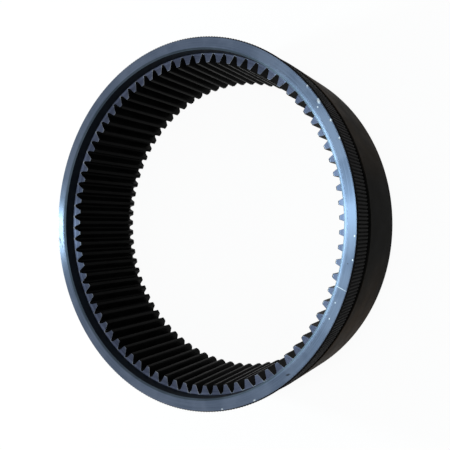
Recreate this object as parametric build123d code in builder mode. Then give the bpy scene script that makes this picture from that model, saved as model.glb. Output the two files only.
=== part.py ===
"""Internal ring gear, cut in one piece from a forged steel ring.

The ring lies on its rear face at Z = 0, with its axis along +Z and its recessed front face on top. The
bore carries 81 straight involute teeth. Outside, a fine spline runs back from the front face to a relief
groove, and a plain band behind the groove locates the ring in its housing.
"""

import os
from math import acos, cos, pi, radians, sin, tan

from build123d import *

# Overall
ring_width = 101.0
rim_thickness = 13.2
rear_edge_chamfer = 0.8

# Internal teeth
tooth_count = 81
tooth_module = 4.0
pressure_angle = 20.0
addendum_factor = 1.0
dedendum_factor = 1.2
tooth_thinning = 0.3
root_rounding = 0.4
front_lead_in = 0.8
rear_lead_in = 3.0

# Recess in the front face, just clear of the tooth roots
recess_clearance = 0.2
recess_depth = 14.0
recess_mouth_chamfer = 1.8

# Fine spline, a step smaller than the band, and the relief groove behind it
spline_tooth_count = 356
spline_step = 0.7
spline_tooth_depth = 1.1
spline_land_width = 1.2
spline_length = 26.5
front_edge_chamfer = 1.2
relief_width = 4.5
relief_depth = 2.4
band_edge_chamfer = 0.5

# How far a cutter runs past the metal it cuts
overrun = 1.0

# Radii that follow from the sizes above
pitch_radius = tooth_count * tooth_module / 2
base_radius = pitch_radius * cos(radians(pressure_angle))
tip_radius = pitch_radius - addendum_factor * tooth_module
root_radius = pitch_radius + dedendum_factor * tooth_module
recess_radius = root_radius + recess_clearance
band_radius = root_radius + rim_thickness
spline_tip_radius = band_radius - spline_step
spline_root_radius = spline_tip_radius - spline_tooth_depth
face_edge_radius = spline_tip_radius - front_edge_chamfer
relief_radius = spline_tip_radius - relief_depth

# Heights above the rear face
recess_floor = ring_width - recess_depth
spline_bottom = ring_width - spline_length
band_top = spline_bottom - relief_width


def involute(angle):
    """The involute function of an angle in radians."""
    return tan(angle) - angle


def half_space_angle(radius):
    """Half of the angle that one tooth space takes up at a radius, between two involute flanks."""
    at_pitch = pi / (2 * tooth_count) + tooth_thinning / (2 * pitch_radius)
    return at_pitch + involute(radians(pressure_angle)) - involute(acos(base_radius / radius))


def on_circle(radius, angle):
    """The point at a radius and an angle in radians."""
    return (radius * cos(angle), radius * sin(angle))


def flank_points(side, steps=2):
    """Points up one flank of the space centred on +X, from the tooth tip to the root rounding."""
    rise = (root_radius - root_rounding - tip_radius) / steps
    radii = [tip_radius + rise * step for step in range(steps + 1)]
    return [on_circle(radius, side * half_space_angle(radius)) for radius in radii]


def spline_corners():
    """Corners of the splined section: a sharp groove root, then the two ends of a tooth's flat land."""
    pitch_angle = 2 * pi / spline_tooth_count
    half_land_angle = spline_land_width / spline_tip_radius / 2
    corners = []
    for tooth in range(spline_tooth_count):
        centre = (tooth + 0.5) * pitch_angle
        corners.append(on_circle(spline_root_radius, centre - pitch_angle / 2))
        corners.append(on_circle(spline_tip_radius, centre - half_land_angle))
        corners.append(on_circle(spline_tip_radius, centre + half_land_angle))
    return corners


# The turned blank: its half section revolved about the axis, with the bore at the tooth tips and the
# outside of its front end at the bottom of the relief groove
with BuildPart() as blank:
    with BuildSketch(Plane.XZ):
        with BuildLine():
            Polyline(
                (tip_radius, recess_floor - front_lead_in),
                (tip_radius, rear_lead_in),
                (tip_radius + rear_lead_in, 0),
                (band_radius - rear_edge_chamfer, 0),
                (band_radius, rear_edge_chamfer),
                (band_radius, band_top - band_edge_chamfer),
                (band_radius - band_edge_chamfer, band_top),
                (relief_radius, band_top),
                (relief_radius, ring_width),
                (recess_radius + recess_mouth_chamfer, ring_width),
                (recess_radius, ring_width - recess_mouth_chamfer),
                (recess_radius, recess_floor),
                (tip_radius + front_lead_in, recess_floor),
                (tip_radius, recess_floor - front_lead_in),
                close=True,
            )
        make_face()
    revolve(axis=Axis.Z)

# The fine spline: a toothed ring around the front end, its lands trimmed by a chamfer at the front face
with BuildPart() as spline_ring:
    with BuildSketch(Plane.XY.offset(spline_bottom)):
        with BuildLine():
            Polyline(*spline_corners(), close=True)
        make_face()
        Circle(relief_radius, mode=Mode.SUBTRACT)
    extrude(amount=spline_length)
    with BuildSketch(Plane.XY.offset(spline_bottom)):
        RegularPolygon(
            face_edge_radius + spline_length,
            spline_tooth_count,
            major_radius=False,
        )
    extrude(amount=spline_length, taper=45, mode=Mode.INTERSECT)

# One tooth space of the bore, centred on +X and open towards the axis
with BuildSketch() as tooth_space:
    with BuildLine():
        lower, upper = flank_points(-1), flank_points(1)
        inner_x = tip_radius - overrun
        Polyline(lower[0], (inner_x, lower[0][1]), (inner_x, upper[0][1]), upper[0])
        Spline(*lower)
        ThreePointArc(lower[-1], (root_radius, 0), upper[-1])
        Spline(*upper)
    make_face()

# The ring gear: the blank and its spline, with the tooth spaces cut into the bore and one tooth on +X
with BuildPart() as ring_gear:
    add(blank.part)
    add(spline_ring.part)
    with BuildSketch():
        with PolarLocations(0, tooth_count, start_angle=180 / tooth_count):
            add(tooth_space.sketch)
    extrude(amount=ring_width, mode=Mode.SUBTRACT)
ring_gear.part.label = "ring_gear"
os.makedirs("parts", exist_ok=True)
export_step(ring_gear.part, "parts/ring_gear.step")
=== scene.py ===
"""Looks of the internal ring gear: a fine mesh over the CAD ring, its steels, and a plain white studio.

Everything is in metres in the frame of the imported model: the ring lies on its rear face at Z = 0, its axis
is Z, and one internal tooth stands on +X. Angles run anticlockwise seen from the recessed front face.
"""

from math import acos, cos, pi, radians, sin, tan

import bmesh
import bpy
import numpy as np
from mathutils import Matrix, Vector


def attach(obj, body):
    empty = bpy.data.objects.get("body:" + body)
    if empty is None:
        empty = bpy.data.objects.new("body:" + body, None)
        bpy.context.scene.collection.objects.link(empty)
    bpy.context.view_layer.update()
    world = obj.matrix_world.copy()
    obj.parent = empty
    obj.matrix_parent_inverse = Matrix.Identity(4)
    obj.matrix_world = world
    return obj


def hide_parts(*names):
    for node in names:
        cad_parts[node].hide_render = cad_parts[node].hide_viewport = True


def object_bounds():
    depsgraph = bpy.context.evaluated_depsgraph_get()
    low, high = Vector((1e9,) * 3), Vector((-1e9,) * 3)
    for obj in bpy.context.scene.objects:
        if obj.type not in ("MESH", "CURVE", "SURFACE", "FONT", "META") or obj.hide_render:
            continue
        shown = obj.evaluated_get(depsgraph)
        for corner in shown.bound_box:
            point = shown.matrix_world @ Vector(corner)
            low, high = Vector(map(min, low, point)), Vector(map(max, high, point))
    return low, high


MM = 0.001

# Internal teeth, in millimetres
TOOTH_COUNT = 81
TOOTH_MODULE = 4.0
PRESSURE_ANGLE = radians(20)
TOOTH_THINNING = 0.3
TIP_ROUNDING = 0.35
ROOT_ROUNDING = 1.1
FRONT_LEAD_IN = 0.8
REAR_LEAD_IN = 3.0
END_BEVEL = 0.2

# Recess in the front face
RECESS_DEPTH = 14.0
RECESS_CLEARANCE = 0.2
RECESS_CORNER_RADIUS = 2.0
RECESS_MOUTH_CHAMFER = 1.8

# Outside: fine spline, relief groove and plain band
SPLINE_TOOTH_COUNT = 356
SPLINE_STEP = 0.7
SPLINE_TOOTH_DEPTH = 1.1
SPLINE_LAND_WIDTH = 1.2
SPLINE_LENGTH = 26.5
FACE_EDGE_CHAMFER = 1.2
RELIEF_WIDTH = 4.5
RELIEF_DEPTH = 2.4
BAND_EDGE_CHAMFER = 0.5
REAR_EDGE_CHAMFER = 0.8

# Small breaks where faces meet, and the plain ring on the rear face that its faces start from
EDGE_BREAK = 0.1
CHAMFER_BREAK = 0.15
FACE_EDGE_BREAK = 0.12
RELIEF_LOWER_CHAMFER = 0.6
RELIEF_UPPER_CHAMFER = 0.4
REAR_FACE_INSET = 1.5

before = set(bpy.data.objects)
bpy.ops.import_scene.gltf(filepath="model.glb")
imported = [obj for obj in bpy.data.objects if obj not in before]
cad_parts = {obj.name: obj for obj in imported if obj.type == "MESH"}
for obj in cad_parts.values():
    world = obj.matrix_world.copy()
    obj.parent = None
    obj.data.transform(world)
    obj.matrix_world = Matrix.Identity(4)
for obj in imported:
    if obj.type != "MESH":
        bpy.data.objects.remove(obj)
cad_low, cad_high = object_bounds()

# Radii and heights that follow, in millimetres
PITCH_RADIUS = TOOTH_COUNT * TOOTH_MODULE / 2
BASE_RADIUS = PITCH_RADIUS * cos(PRESSURE_ANGLE)
TIP_RADIUS = PITCH_RADIUS - TOOTH_MODULE
ROOT_RADIUS = PITCH_RADIUS + 1.2 * TOOTH_MODULE
RECESS_RADIUS = ROOT_RADIUS + RECESS_CLEARANCE
BAND_RADIUS = cad_high[0] / MM
SPLINE_TIP_RADIUS = BAND_RADIUS - SPLINE_STEP
SPLINE_ROOT_RADIUS = SPLINE_TIP_RADIUS - SPLINE_TOOTH_DEPTH
FACE_EDGE_RADIUS = SPLINE_TIP_RADIUS - FACE_EDGE_CHAMFER
RELIEF_RADIUS = SPLINE_TIP_RADIUS - RELIEF_DEPTH
RING_WIDTH = cad_high[2] / MM
RECESS_FLOOR = RING_WIDTH - RECESS_DEPTH
SPLINE_BOTTOM = RING_WIDTH - SPLINE_LENGTH
BAND_TOP = SPLINE_BOTTOM - RELIEF_WIDTH


# ---------------------------------------------------------------- shape


def involute(angle):
    return tan(angle) - angle


def half_space_angle(radius):
    """Half of the angle that one tooth space takes up at a radius."""
    at_pitch = pi / (2 * TOOTH_COUNT) + TOOTH_THINNING / (2 * PITCH_RADIUS)
    return at_pitch + involute(PRESSURE_ANGLE) - involute(acos(BASE_RADIUS / radius))


def half_pitch_outline():
    """(radius, angle) pairs from the middle of a tooth space, up its flank, to the middle of the tip."""
    foot = ROOT_RADIUS - ROOT_ROUNDING
    foot_angle = half_space_angle(foot)
    slope = (half_space_angle(foot) - half_space_angle(foot - 0.1)) / 0.1
    knee_angle = foot_angle + slope * (ROOT_RADIUS - foot)
    points = []
    for t in (0.0, 0.28, 0.54, 0.78):
        weights = (1 - t) ** 2, 2 * t * (1 - t), t**2
        points.append(
            (
                weights[0] * ROOT_RADIUS + weights[1] * ROOT_RADIUS + weights[2] * foot,
                weights[1] * knee_angle + weights[2] * foot_angle,
            )
        )
    for radius in np.linspace(foot, TIP_RADIUS + TIP_ROUNDING, 5):
        points.append((radius, half_space_angle(radius)))
    corner_angle = half_space_angle(TIP_RADIUS)
    points.append((TIP_RADIUS + 0.08, corner_angle + 0.25 * TIP_ROUNDING / TIP_RADIUS))
    points.append((TIP_RADIUS, corner_angle + TIP_ROUNDING / TIP_RADIUS))
    points.append((TIP_RADIUS, pi / TOOTH_COUNT))
    return points


def bore_outline():
    """Radii and angles of the whole toothed bore."""
    half = half_pitch_outline()
    pitch = 2 * pi / TOOTH_COUNT
    one = half + [(radius, pitch - angle) for radius, angle in half[-2:0:-1]]
    radii = np.tile([radius for radius, _ in one], TOOTH_COUNT)
    starts = np.repeat((np.arange(TOOTH_COUNT) + 0.5) * pitch, len(one))
    return radii, starts + np.tile([angle for _, angle in one], TOOTH_COUNT)


def spline_outline():
    """Radii and angles of the splined section, six points to a tooth."""
    pitch = 2 * pi / SPLINE_TOOTH_COUNT
    half_land = SPLINE_LAND_WIDTH / SPLINE_TIP_RADIUS / 2
    middle = (SPLINE_ROOT_RADIUS + SPLINE_TIP_RADIUS) / 2
    flank = (pitch / 2 - half_land) / 2
    one = [
        (SPLINE_ROOT_RADIUS, 0.0),
        (middle, flank),
        (SPLINE_TIP_RADIUS, pitch / 2 - half_land),
        (SPLINE_TIP_RADIUS + 0.02, pitch / 2),
        (SPLINE_TIP_RADIUS, pitch / 2 + half_land),
        (middle, pitch - flank),
    ]
    radii = np.tile([radius for radius, _ in one], SPLINE_TOOTH_COUNT)
    starts = np.repeat(np.arange(SPLINE_TOOTH_COUNT) * pitch, len(one))
    return radii, starts + np.tile([angle for _, angle in one], SPLINE_TOOTH_COUNT)


def moved_into_metal(radii, angles, distance):
    """The bore outline moved by a distance into the metal, for the bevel round each tooth's end."""
    x, y = radii * np.cos(angles), radii * np.sin(angles)
    along_x, along_y = np.roll(x, -1) - np.roll(x, 1), np.roll(y, -1) - np.roll(y, 1)
    length = np.hypot(along_x, along_y)
    x, y = x + distance * along_y / length, y - distance * along_x / length
    turned = np.unwrap(np.arctan2(y, x))
    return np.minimum(np.hypot(x, y), RECESS_RADIUS), turned + (angles[0] - turned[0]).round(0)


def floor_height(radii):
    """Height of the tooth ends: flat, then rising in the recess corner's fillet."""
    into_fillet = np.clip(radii - (RECESS_RADIUS - RECESS_CORNER_RADIUS), 0, RECESS_CORNER_RADIUS)
    return RECESS_FLOOR + RECESS_CORNER_RADIUS - np.sqrt(RECESS_CORNER_RADIUS**2 - into_fillet**2)


class Shell:
    """Collects closed rings of vertices and the faces between them."""

    def __init__(self):
        self.vertices = []
        self.faces = []
        self.zones = []

    def ring(self, radii, angles, heights):
        radii, heights = np.broadcast_to(radii, angles.shape), np.broadcast_to(heights, angles.shape)
        start = len(self.vertices)
        points = np.stack([radii * np.cos(angles), radii * np.sin(angles), heights], 1) * MM
        self.vertices.extend(points.tolist())
        return list(range(start, start + len(angles)))

    def strip(self, lower, upper, zone):
        """Quads between two rings of the same count."""
        count = len(lower)
        for i in range(count):
            j = (i + 1) % count
            self.faces.append((lower[i], lower[j], upper[j], upper[i]))
            self.zones.append(zone)

    def stitch(self, first, first_angles, second, second_angles, zone):
        """Triangles between two flat rings of different counts, by their angles."""
        i = j = 0
        while i < len(first) or j < len(second):
            next_first = first_angles[i + 1] if i + 1 < len(first) else first_angles[0] + 2 * pi
            next_second = second_angles[j + 1] if j + 1 < len(second) else second_angles[0] + 2 * pi
            a, b = first[i % len(first)], second[j % len(second)]
            if j == len(second) or (i < len(first) and next_first <= next_second):
                self.faces.append((a, first[(i + 1) % len(first)], b))
                i += 1
            else:
                self.faces.append((a, second[(j + 1) % len(second)], b))
                j += 1
            self.zones.append(zone)


# Zones of the ring's surface, each with its own steel
ZONES = (
    "face",
    "tooth_end",
    "bright_edge",
    "flank",
    "recess_wall",
    "mouth",
    "spline",
    "groove",
    "band",
    "rear",
)


# Nicks knocked into the outer edge of the front face: angle in degrees, then width and depth
EDGE_NICKS = (
    (20.9, 1.8, 0.5),
    (26.4, 2.4, 0.6),
    (32.9, 4.0, 0.9),
    (38.5, 1.8, 0.5),
    (184.5, 5.0, 0.8),
    (284.8, 2.2, 0.5),
    (296.8, 2.4, 0.6),
    (348.8, 1.6, 0.4),
)


def nick_depth(angles):
    """How deep the nicks reach at each angle round the front edge."""
    depth = np.zeros(len(angles))
    for angle, width, deepest in EDGE_NICKS:
        across = (np.degrees(angles) - angle) * radians(1) * FACE_EDGE_RADIUS / (width / 2)
        depth = np.maximum(depth, deepest * np.clip(1 - across**2, 0, 1))
    return depth


def ring_mesh():
    shell = Shell()
    radii, angles = bore_outline()
    end_radii, end_angles = moved_into_metal(radii, angles, END_BEVEL)

    # Rear face, lead-in, flanks and the tooth ends
    rear_inner = shell.ring(RECESS_RADIUS + REAR_FACE_INSET, angles, 0.0)
    lower = rear_inner
    for height in (0.0, 0.8, 1.6, 2.3, REAR_LEAD_IN):
        upper = shell.ring(np.maximum(radii, TIP_RADIUS + REAR_LEAD_IN - height), angles, height)
        shell.strip(upper, lower, "flank" if height else "rear")
        lower = upper
    for rise in (0.0, 0.5, 1.0):
        clear = np.maximum(radii, TIP_RADIUS + FRONT_LEAD_IN * rise)
        top = floor_height(clear) - END_BEVEL - FRONT_LEAD_IN * (1 - rise)
        upper = shell.ring(clear, angles, top)
        shell.strip(upper, lower, "flank")
        lower = upper
    end_clear = np.maximum(end_radii, TIP_RADIUS + FRONT_LEAD_IN + END_BEVEL)
    upper = shell.ring(end_clear, end_angles, floor_height(end_clear))
    shell.strip(upper, lower, "bright_edge")
    lower = upper
    corner = RECESS_RADIUS - RECESS_CORNER_RADIUS
    for share in (-1.6, 0.0, 0.25, 0.5, 0.7, 0.85, 0.95, 1.0):
        reached = np.maximum(end_clear, corner + share * RECESS_CORNER_RADIUS)
        upper = shell.ring(reached, end_angles, floor_height(reached))
        shell.strip(upper, lower, "tooth_end")
        lower = upper

    # Recess wall, its mouth and the inner part of the front face
    mouth = RING_WIDTH - RECESS_MOUTH_CHAMFER
    face_inner = RECESS_RADIUS + RECESS_MOUTH_CHAMFER
    for radius, height, zone in (
        (RECESS_RADIUS, mouth - EDGE_BREAK, "recess_wall"),
        (RECESS_RADIUS + EDGE_BREAK, mouth + EDGE_BREAK, "recess_wall"),
        (face_inner - CHAMFER_BREAK, RING_WIDTH - CHAMFER_BREAK, "mouth"),
        (face_inner + EDGE_BREAK, RING_WIDTH, "face"),
        (face_inner + 2.0, RING_WIDTH, "face"),
    ):
        upper = shell.ring(radius, end_angles, height)
        shell.strip(upper, lower, zone)
        lower = upper
    seam = lower

    # Outer part of the front face, its edge and the spline
    spline_radii, spline_angles = spline_outline()
    lower = shell.ring(face_inner + 5.0, spline_angles, RING_WIDTH)
    shell.stitch(seam, end_angles, lower, spline_angles, "face")
    nicks = nick_depth(spline_angles)
    for inset, height in (
        (1.6, RING_WIDTH),
        (0.8, RING_WIDTH - 0.2 * nicks),
        (0.2, RING_WIDTH - 0.7 * nicks),
        (0.0, RING_WIDTH - FACE_EDGE_BREAK - nicks),
    ):
        upper = shell.ring(FACE_EDGE_RADIUS - inset, spline_angles, height)
        shell.strip(upper, lower, "face")
        lower = upper
    for share in (0.3, 0.6, 0.85, 1.0):
        clear = np.minimum(spline_radii, FACE_EDGE_RADIUS + share * FACE_EDGE_CHAMFER)
        height = RING_WIDTH - share * FACE_EDGE_CHAMFER - (FACE_EDGE_BREAK + nicks) * (1 - share)
        upper = shell.ring(clear, spline_angles, height)
        shell.strip(upper, lower, "spline")
        lower = upper
    upper = shell.ring(spline_radii, spline_angles, SPLINE_BOTTOM + CHAMFER_BREAK)
    shell.strip(upper, lower, "spline")
    lower = upper

    # Relief groove, band and rear face
    for radius, height, zone in (
        (np.minimum(spline_radii, SPLINE_TIP_RADIUS) - CHAMFER_BREAK, SPLINE_BOTTOM, "spline"),
        (RELIEF_RADIUS + RELIEF_UPPER_CHAMFER, SPLINE_BOTTOM, "groove"),
        (RELIEF_RADIUS, SPLINE_BOTTOM - RELIEF_UPPER_CHAMFER, "groove"),
        (RELIEF_RADIUS, BAND_TOP + RELIEF_LOWER_CHAMFER, "groove"),
        (RELIEF_RADIUS + RELIEF_LOWER_CHAMFER, BAND_TOP, "groove"),
        (BAND_RADIUS - BAND_EDGE_CHAMFER, BAND_TOP, "groove"),
        (BAND_RADIUS, BAND_TOP - BAND_EDGE_CHAMFER, "band"),
        (BAND_RADIUS, REAR_EDGE_CHAMFER, "band"),
        (BAND_RADIUS - REAR_EDGE_CHAMFER, 0.0, "band"),
    ):
        upper = shell.ring(radius, spline_angles, height)
        shell.strip(upper, lower, zone)
        lower = upper
    shell.stitch(lower, spline_angles, rear_inner, angles, "rear")

    mesh = bpy.data.meshes.new("ring_gear_steel")
    mesh.from_pydata(shell.vertices, [], shell.faces)
    mesh.polygons.foreach_set("material_index", [ZONES.index(zone) for zone in shell.zones])
    return mesh


def cleaned(mesh):
    """Merges the points that the clamped outlines share and turns every face outwards."""
    work = bmesh.new()
    work.from_mesh(mesh)
    bmesh.ops.remove_doubles(work, verts=work.verts, dist=0.00002)
    bmesh.ops.dissolve_degenerate(work, dist=0.000005, edges=work.edges)
    bmesh.ops.recalc_face_normals(work, faces=work.faces)
    for face in work.faces:
        face.smooth = True
    work.to_mesh(mesh)
    work.free()
    mesh.set_sharp_from_angle(angle=radians(32))
    return mesh


# ---------------------------------------------------------------- materials


# How far the fine grain eats into the edge of a mark, as a share of the mark's half width
MARK_RAGGEDNESS = 0.7


class Nodes:
    """A material's node tree, with short calls to add and join nodes."""

    def __init__(self, name):
        self.material = bpy.data.materials.new(name)
        self.material.use_nodes = True
        self.tree = self.material.node_tree
        self.shader = self.tree.nodes["Principled BSDF"]
        self.position = self.add("ShaderNodeTexCoord").outputs["Object"]
        self.fine = None

    def add(self, kind, **settings):
        node = self.tree.nodes.new(kind)
        for key, value in settings.items():
            setattr(node, key, value)
        return node

    def feed(self, socket, value):
        if isinstance(value, bpy.types.NodeSocket):
            self.tree.links.new(value, socket)
        else:
            socket.default_value = value

    def math(self, operation, first, second=0.0, clamp=False):
        node = self.add("ShaderNodeMath", operation=operation, use_clamp=clamp)
        self.feed(node.inputs[0], first)
        self.feed(node.inputs[1], second)
        return node.outputs[0]

    def radius(self):
        """Distance from the ring's axis, in metres."""
        flat = self.add("ShaderNodeVectorMath", operation="MULTIPLY")
        self.feed(flat.inputs[0], self.position)
        flat.inputs[1].default_value = (1, 1, 0)
        length = self.add("ShaderNodeVectorMath", operation="LENGTH")
        self.feed(length.inputs[0], flat.outputs[0])
        return length.outputs["Value"]

    def noise(self, scale, detail=4.0, rough=0.55, vector=None):
        node = self.add("ShaderNodeTexNoise")
        node.inputs["Scale"].default_value = scale
        node.inputs["Detail"].default_value = detail
        node.inputs["Roughness"].default_value = rough
        self.feed(node.inputs["Vector"], vector or self.position)
        return node.outputs["Fac"]

    def ramp(self, value, stops):
        """A colour ramp; stops are (position, grey or colour)."""
        node = self.add("ShaderNodeValToRGB")
        elements = node.color_ramp.elements
        while len(elements) < len(stops):
            elements.new(0.5)
        for element, (position, colour) in zip(elements, stops):
            element.position = position
            element.color = (*colour, 1) if isinstance(colour, tuple) else (colour, colour, colour, 1)
        self.feed(node.inputs["Fac"], value)
        return node.outputs["Color"]

    def mix(self, share, first, second):
        node = self.add("ShaderNodeMix", data_type="RGBA")
        self.feed(node.inputs["Factor"], share)
        for socket, value in ((node.inputs[6], first), (node.inputs[7], second)):
            self.feed(socket, (*value, 1) if isinstance(value, tuple) else value)
        return node.outputs[2]

    def bump(self, height, distance, strength):
        node = self.add("ShaderNodeBump")
        node.inputs["Strength"].default_value = strength
        node.inputs["Distance"].default_value = distance
        self.feed(node.inputs["Height"], height)
        return node.outputs["Normal"]

    def turned_around(self, fine, along):
        """A vector that stretches a texture round the axis: fine across the turning, long along it."""
        split = self.add("ShaderNodeSeparateXYZ")
        self.feed(split.inputs[0], self.position)
        angle = self.math("ARCTAN2", split.outputs[1], split.outputs[0])
        join = self.add("ShaderNodeCombineXYZ")
        self.feed(join.inputs[0], self.math("MULTIPLY", self.radius(), fine))
        self.feed(join.inputs[1], self.math("MULTIPLY", angle, along))
        self.feed(join.inputs[2], self.math("MULTIPLY", split.outputs[2], fine))
        return join.outputs[0]

    def round_the_axis(self):
        """Lays the shader's stretched highlights across the turning marks."""
        tangent = self.add("ShaderNodeTangent", direction_type="RADIAL", axis="Z")
        self.feed(self.shader.inputs["Tangent"], tangent.outputs[0])
        self.shader.inputs["Anisotropic"].default_value = 0.95
        self.shader.inputs["Anisotropic Rotation"].default_value = 0.25

    def marks(self, places):
        """1 inside small oval marks with ragged edges; degrees and millimetres, as in the lists below."""
        total = 0.0
        for angle, radius, length, width, turn in places:
            place = self.add("ShaderNodeMapping", vector_type="TEXTURE")
            self.feed(place.inputs["Vector"], self.position)
            x, y = radius * MM * cos(radians(angle)), radius * MM * sin(radians(angle))
            place.inputs["Location"].default_value = (x, y, cad_high[2])
            place.inputs["Rotation"].default_value = (0, 0, radians(angle + 90 + turn))
            place.inputs["Scale"].default_value = (length * MM / 2, width * MM / 2, 0.01)
            away = self.add("ShaderNodeVectorMath", operation="LENGTH")
            self.feed(away.inputs[0], place.outputs[0])
            ragged = self.math("MULTIPLY", self.grain(), MARK_RAGGEDNESS)
            reach = self.math("ADD", away.outputs["Value"], ragged)
            inside = self.math("SUBTRACT", 1 + MARK_RAGGEDNESS, reach, clamp=True)
            total = self.math("MAXIMUM", total, inside)
        return total

    def grain(self):
        if self.fine is None:
            self.fine = self.noise(900.0, detail=2.0)
        return self.fine


# Marks on the front face: angle and radius of each, then its length round the axis, width and turn
BRIGHT_MARKS = (
    (20.9, 177.4, 1.6, 1.4, 0),
    (26.4, 177.2, 2.4, 1.8, 10),
    (31.7, 173.6, 1.4, 1.1, 0),
    (32.9, 177.0, 4.2, 2.2, -12),
    (38.5, 177.5, 1.6, 1.4, 0),
    (284.8, 177.2, 2.2, 1.4, 0),
    (296.8, 177.2, 2.4, 1.5, 0),
    (331.8, 173.2, 1.3, 1.0, 0),
    (336.5, 172.4, 1.2, 1.0, 0),
    (340.7, 173.4, 9.5, 0.5, 82),
    (348.8, 177.0, 1.6, 1.2, 0),
    (355.0, 176.6, 1.3, 1.0, 0),
)
DARK_MARKS = (
    (184.5, 175.6, 9.0, 3.0, 10),
    (187.0, 172.6, 4.0, 1.2, 0),
    (310.8, 174.0, 4.5, 1.6, -20),
    (347.6, 173.6, 1.1, 0.9, 0),
)


def turned_steel(name, dark, light, roughness, marked=False):
    """Satin blue-grey steel with turning marks; the front face also has its bright and dark marks."""
    n = Nodes(name)
    n.shader.inputs["Metallic"].default_value = 1.0
    n.round_the_axis()
    lines = n.noise(1.0, detail=3.0, vector=n.turned_around(2600.0, 3.0))
    cloud = n.noise(34.0, detail=4.0)
    colour = n.mix(n.ramp(cloud, ((0.42, 0.0), (0.58, 1.0))), dark, light)
    pale = tuple(1.35 * part for part in light)
    colour = n.mix(n.ramp(lines, ((0.4, 0.0), (0.7, 0.6))), colour, pale)
    if marked:
        colour = n.mix(n.marks(BRIGHT_MARKS), colour, (0.55, 0.62, 0.68))
        colour = n.mix(n.marks(DARK_MARKS), colour, (0.02, 0.024, 0.03))
    n.feed(n.shader.inputs["Base Color"], colour)
    n.feed(n.shader.inputs["Roughness"], n.ramp(lines, ((0.3, roughness - 0.03), (0.7, roughness + 0.04))))
    n.feed(n.shader.inputs["Normal"], n.bump(lines, 0.00001, 0.25))
    return n.material


def dark_steel(name, dark, light, roughness, gloss, rust=0.0):
    """Steel left black from heat treatment: clouds of two colours, a fine grain and some brown rust."""
    n = Nodes(name)
    n.shader.inputs["Specular IOR Level"].default_value = gloss
    cloud = n.noise(60.0, detail=5.0, rough=0.6)
    colour = n.mix(n.ramp(cloud, ((0.35, 0.0), (0.65, 1.0))), dark, light)
    if rust:
        split = n.add("ShaderNodeSeparateXYZ")
        n.feed(split.inputs[0], n.position)
        to_the_sides = n.ramp(n.math("ABSOLUTE", split.outputs[1]), ((0.03, 0.0), (0.10, rust)))
        stain = n.ramp(n.noise(19.0, detail=6.0, rough=0.65), ((0.38, 0.15), (0.62, 1.0)))
        colour = n.mix(n.math("MULTIPLY", stain, to_the_sides), colour, (0.030, 0.0195, 0.0115))
    n.feed(n.shader.inputs["Base Color"], colour)
    n.feed(n.shader.inputs["Roughness"], n.ramp(cloud, ((0.3, roughness - 0.06), (0.7, roughness + 0.06))))
    n.feed(n.shader.inputs["Normal"], n.bump(n.grain(), 0.00004, 0.3))
    return n.material


def materials():
    """The material of each zone of the ring."""
    return {
        "face": turned_steel(
            "turned_face",
            dark=(0.074, 0.100, 0.150),
            light=(0.105, 0.136, 0.195),
            roughness=0.42,
            marked=True,
        ),
        "tooth_end": turned_steel(
            "tooth_end_steel",
            dark=(0.068, 0.083, 0.132),
            light=(0.106, 0.128, 0.195),
            roughness=0.45,
        ),
        # A lighter copy of the turned steel on the bevel round each tooth's end: a painted highlight along
        # these edges.
        "bright_edge": turned_steel(
            "painted_edge_highlight_steel",
            dark=(0.10, 0.12, 0.16),
            light=(0.34, 0.37, 0.42),
            roughness=0.5,
        ),
        # A darker copy of the face's turned steel on the chamfer at the recess mouth: painted shade on the
        # chamfer.
        "mouth": turned_steel(
            "mouth_painted_shade_steel",
            dark=(0.045, 0.063, 0.085),
            light=(0.070, 0.095, 0.125),
            roughness=0.5,
        ),
        "flank": dark_steel(
            "flank_steel",
            dark=(0.0013, 0.0013, 0.0013),
            light=(0.0032, 0.0032, 0.0031),
            roughness=0.45,
            gloss=0.025,
        ),
        "recess_wall": dark_steel(
            "recess_wall_steel",
            dark=(0.0018, 0.0029, 0.0055),
            light=(0.0035, 0.0055, 0.0090),
            roughness=0.5,
            gloss=0.04,
        ),
        "spline": dark_steel(
            "spline_steel",
            dark=(0.0032, 0.0032, 0.0032),
            light=(0.0058, 0.0058, 0.0057),
            roughness=0.5,
            gloss=0.01,
        ),
        "groove": dark_steel(
            "groove_steel",
            dark=(0.0035, 0.0035, 0.0032),
            light=(0.0065, 0.0063, 0.0058),
            roughness=0.6,
            gloss=0.008,
        ),
        "band": dark_steel(
            "band_steel",
            dark=(0.0030, 0.0029, 0.0025),
            light=(0.0055, 0.0052, 0.0045),
            roughness=0.5,
            gloss=0.004,
            rust=0.9,
        ),
        "rear": dark_steel(
            "rear_steel",
            dark=(0.03, 0.032, 0.035),
            light=(0.05, 0.052, 0.055),
            roughness=0.5,
            gloss=0.3,
        ),
    }


# ---------------------------------------------------------------- studio


def seen_directly(tree):
    """1 for camera, glossy and transmission rays, 0 for the light that falls on things."""
    path = tree.nodes.new("ShaderNodeLightPath")
    total = path.outputs["Is Camera Ray"]
    for name in ("Is Glossy Ray", "Is Transmission Ray"):
        node = tree.nodes.new("ShaderNodeMath")
        node.operation = "MAXIMUM"
        tree.links.new(total, node.inputs[0])
        tree.links.new(path.outputs[name], node.inputs[1])
        total = node.outputs[0]
    return total


def white_world(fill):
    world = bpy.data.worlds.new("studio")
    bpy.context.scene.world = world
    world.use_nodes = True
    tree = world.node_tree
    light = tree.nodes["Background"]
    light.inputs["Color"].default_value = (1, 1, 1, 1)
    light.inputs["Strength"].default_value = fill
    shown = tree.nodes.new("ShaderNodeBackground")
    shown.inputs["Strength"].default_value = 1.0
    shown.inputs["Color"].default_value = (1, 1, 1, 1)
    mix = tree.nodes.new("ShaderNodeMixShader")
    tree.links.new(seen_directly(tree), mix.inputs[0])
    tree.links.new(light.outputs[0], mix.inputs[1])
    tree.links.new(shown.outputs[0], mix.inputs[2])
    tree.links.new(mix.outputs[0], tree.nodes["World Output"].inputs[0])


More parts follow.
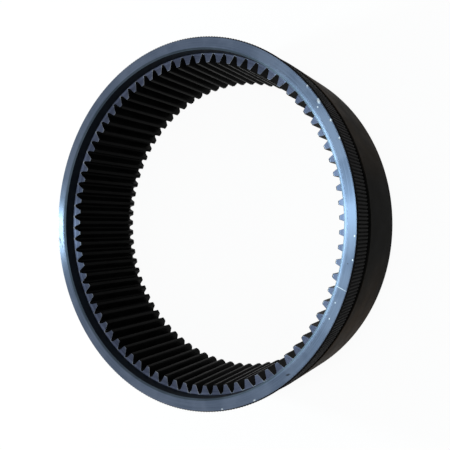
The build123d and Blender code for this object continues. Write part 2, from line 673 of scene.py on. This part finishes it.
def white_floor(size, shadow_share):
    """A pale floor that shows white, with a share of the object's shadow left in it."""
    mesh = bpy.data.meshes.new("floor")
    half = size / 2
    corners = [(-half, -half, 0), (half, -half, 0), (half, half, 0), (-half, half, 0)]
    mesh.from_pydata(corners, [], [(0, 1, 2, 3)])
    floor = bpy.data.objects.new("floor", mesh)
    floor.location.z = -0.0002
    bpy.context.collection.objects.link(floor)
    material = bpy.data.materials.new("floor")
    material.use_nodes = True
    tree = material.node_tree
    tree.nodes.remove(tree.nodes["Principled BSDF"])
    matt = tree.nodes.new("ShaderNodeBsdfDiffuse")
    matt.inputs["Color"].default_value = (0.9, 0.9, 0.9, 1)
    glow = tree.nodes.new("ShaderNodeEmission")
    share = tree.nodes.new("ShaderNodeMath")
    share.operation = "MULTIPLY"
    share.inputs[1].default_value = 1 - shadow_share
    tree.links.new(seen_directly(tree), share.inputs[0])
    mix = tree.nodes.new("ShaderNodeMixShader")
    tree.links.new(share.outputs[0], mix.inputs[0])
    tree.links.new(matt.outputs[0], mix.inputs[1])
    tree.links.new(glow.outputs[0], mix.inputs[2])
    tree.links.new(mix.outputs[0], tree.nodes["Material Output"].inputs[0])
    mesh.materials.append(material)


def lamp(name, towards, distance, size, power, aim):
    """A soft, slightly cool lamp at a distance from the point it aims at."""
    data = bpy.data.lights.new(name, "AREA")
    data.shape = "RECTANGLE"
    data.size, data.size_y = size
    data.energy = power
    data.color = (0.76, 0.95, 1.0)
    light = bpy.data.objects.new(name, data)
    way = Vector(towards).normalized()
    light.location = Vector(aim) + way * distance
    light.rotation_euler = way.to_track_quat("Z", "Y").to_euler()
    bpy.context.collection.objects.link(light)


def camera():
    data = bpy.data.cameras.new("camera")
    data.sensor_width = 36.0
    data.lens = 38.63
    data.shift_x = -0.0833
    data.shift_y = -0.0122
    view = bpy.data.objects.new("camera", data)
    view.location = (0.3018, -0.0106, 0.4676)
    view.rotation_euler = (radians(0.683), radians(29.714), radians(-1.659))
    bpy.context.collection.objects.link(view)
    bpy.context.scene.camera = view


# ---------------------------------------------------------------- assembly

mesh = cleaned(ring_mesh())
zone_materials = materials()
for zone in ZONES:
    mesh.materials.append(zone_materials[zone])
ring = bpy.data.objects.new("ring_gear_body", mesh)
bpy.context.collection.objects.link(ring)
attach(ring, "root")
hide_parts("ring_gear")

face_centre = (0.0, 0.0, cad_high[2])
white_floor(size=6.0, shadow_share=0.06)
white_world(fill=0.5)
lamp("overhead", towards=(0.17, 0.05, 0.98), distance=1.2, size=(0.16, 0.35), power=5.5, aim=face_centre)
lamp("side", towards=(-0.966, 0.012, 0.259), distance=1.2, size=(0.14, 0.35), power=17.0, aim=face_centre)
camera()

bpy.context.scene.view_settings.view_transform = "Standard"
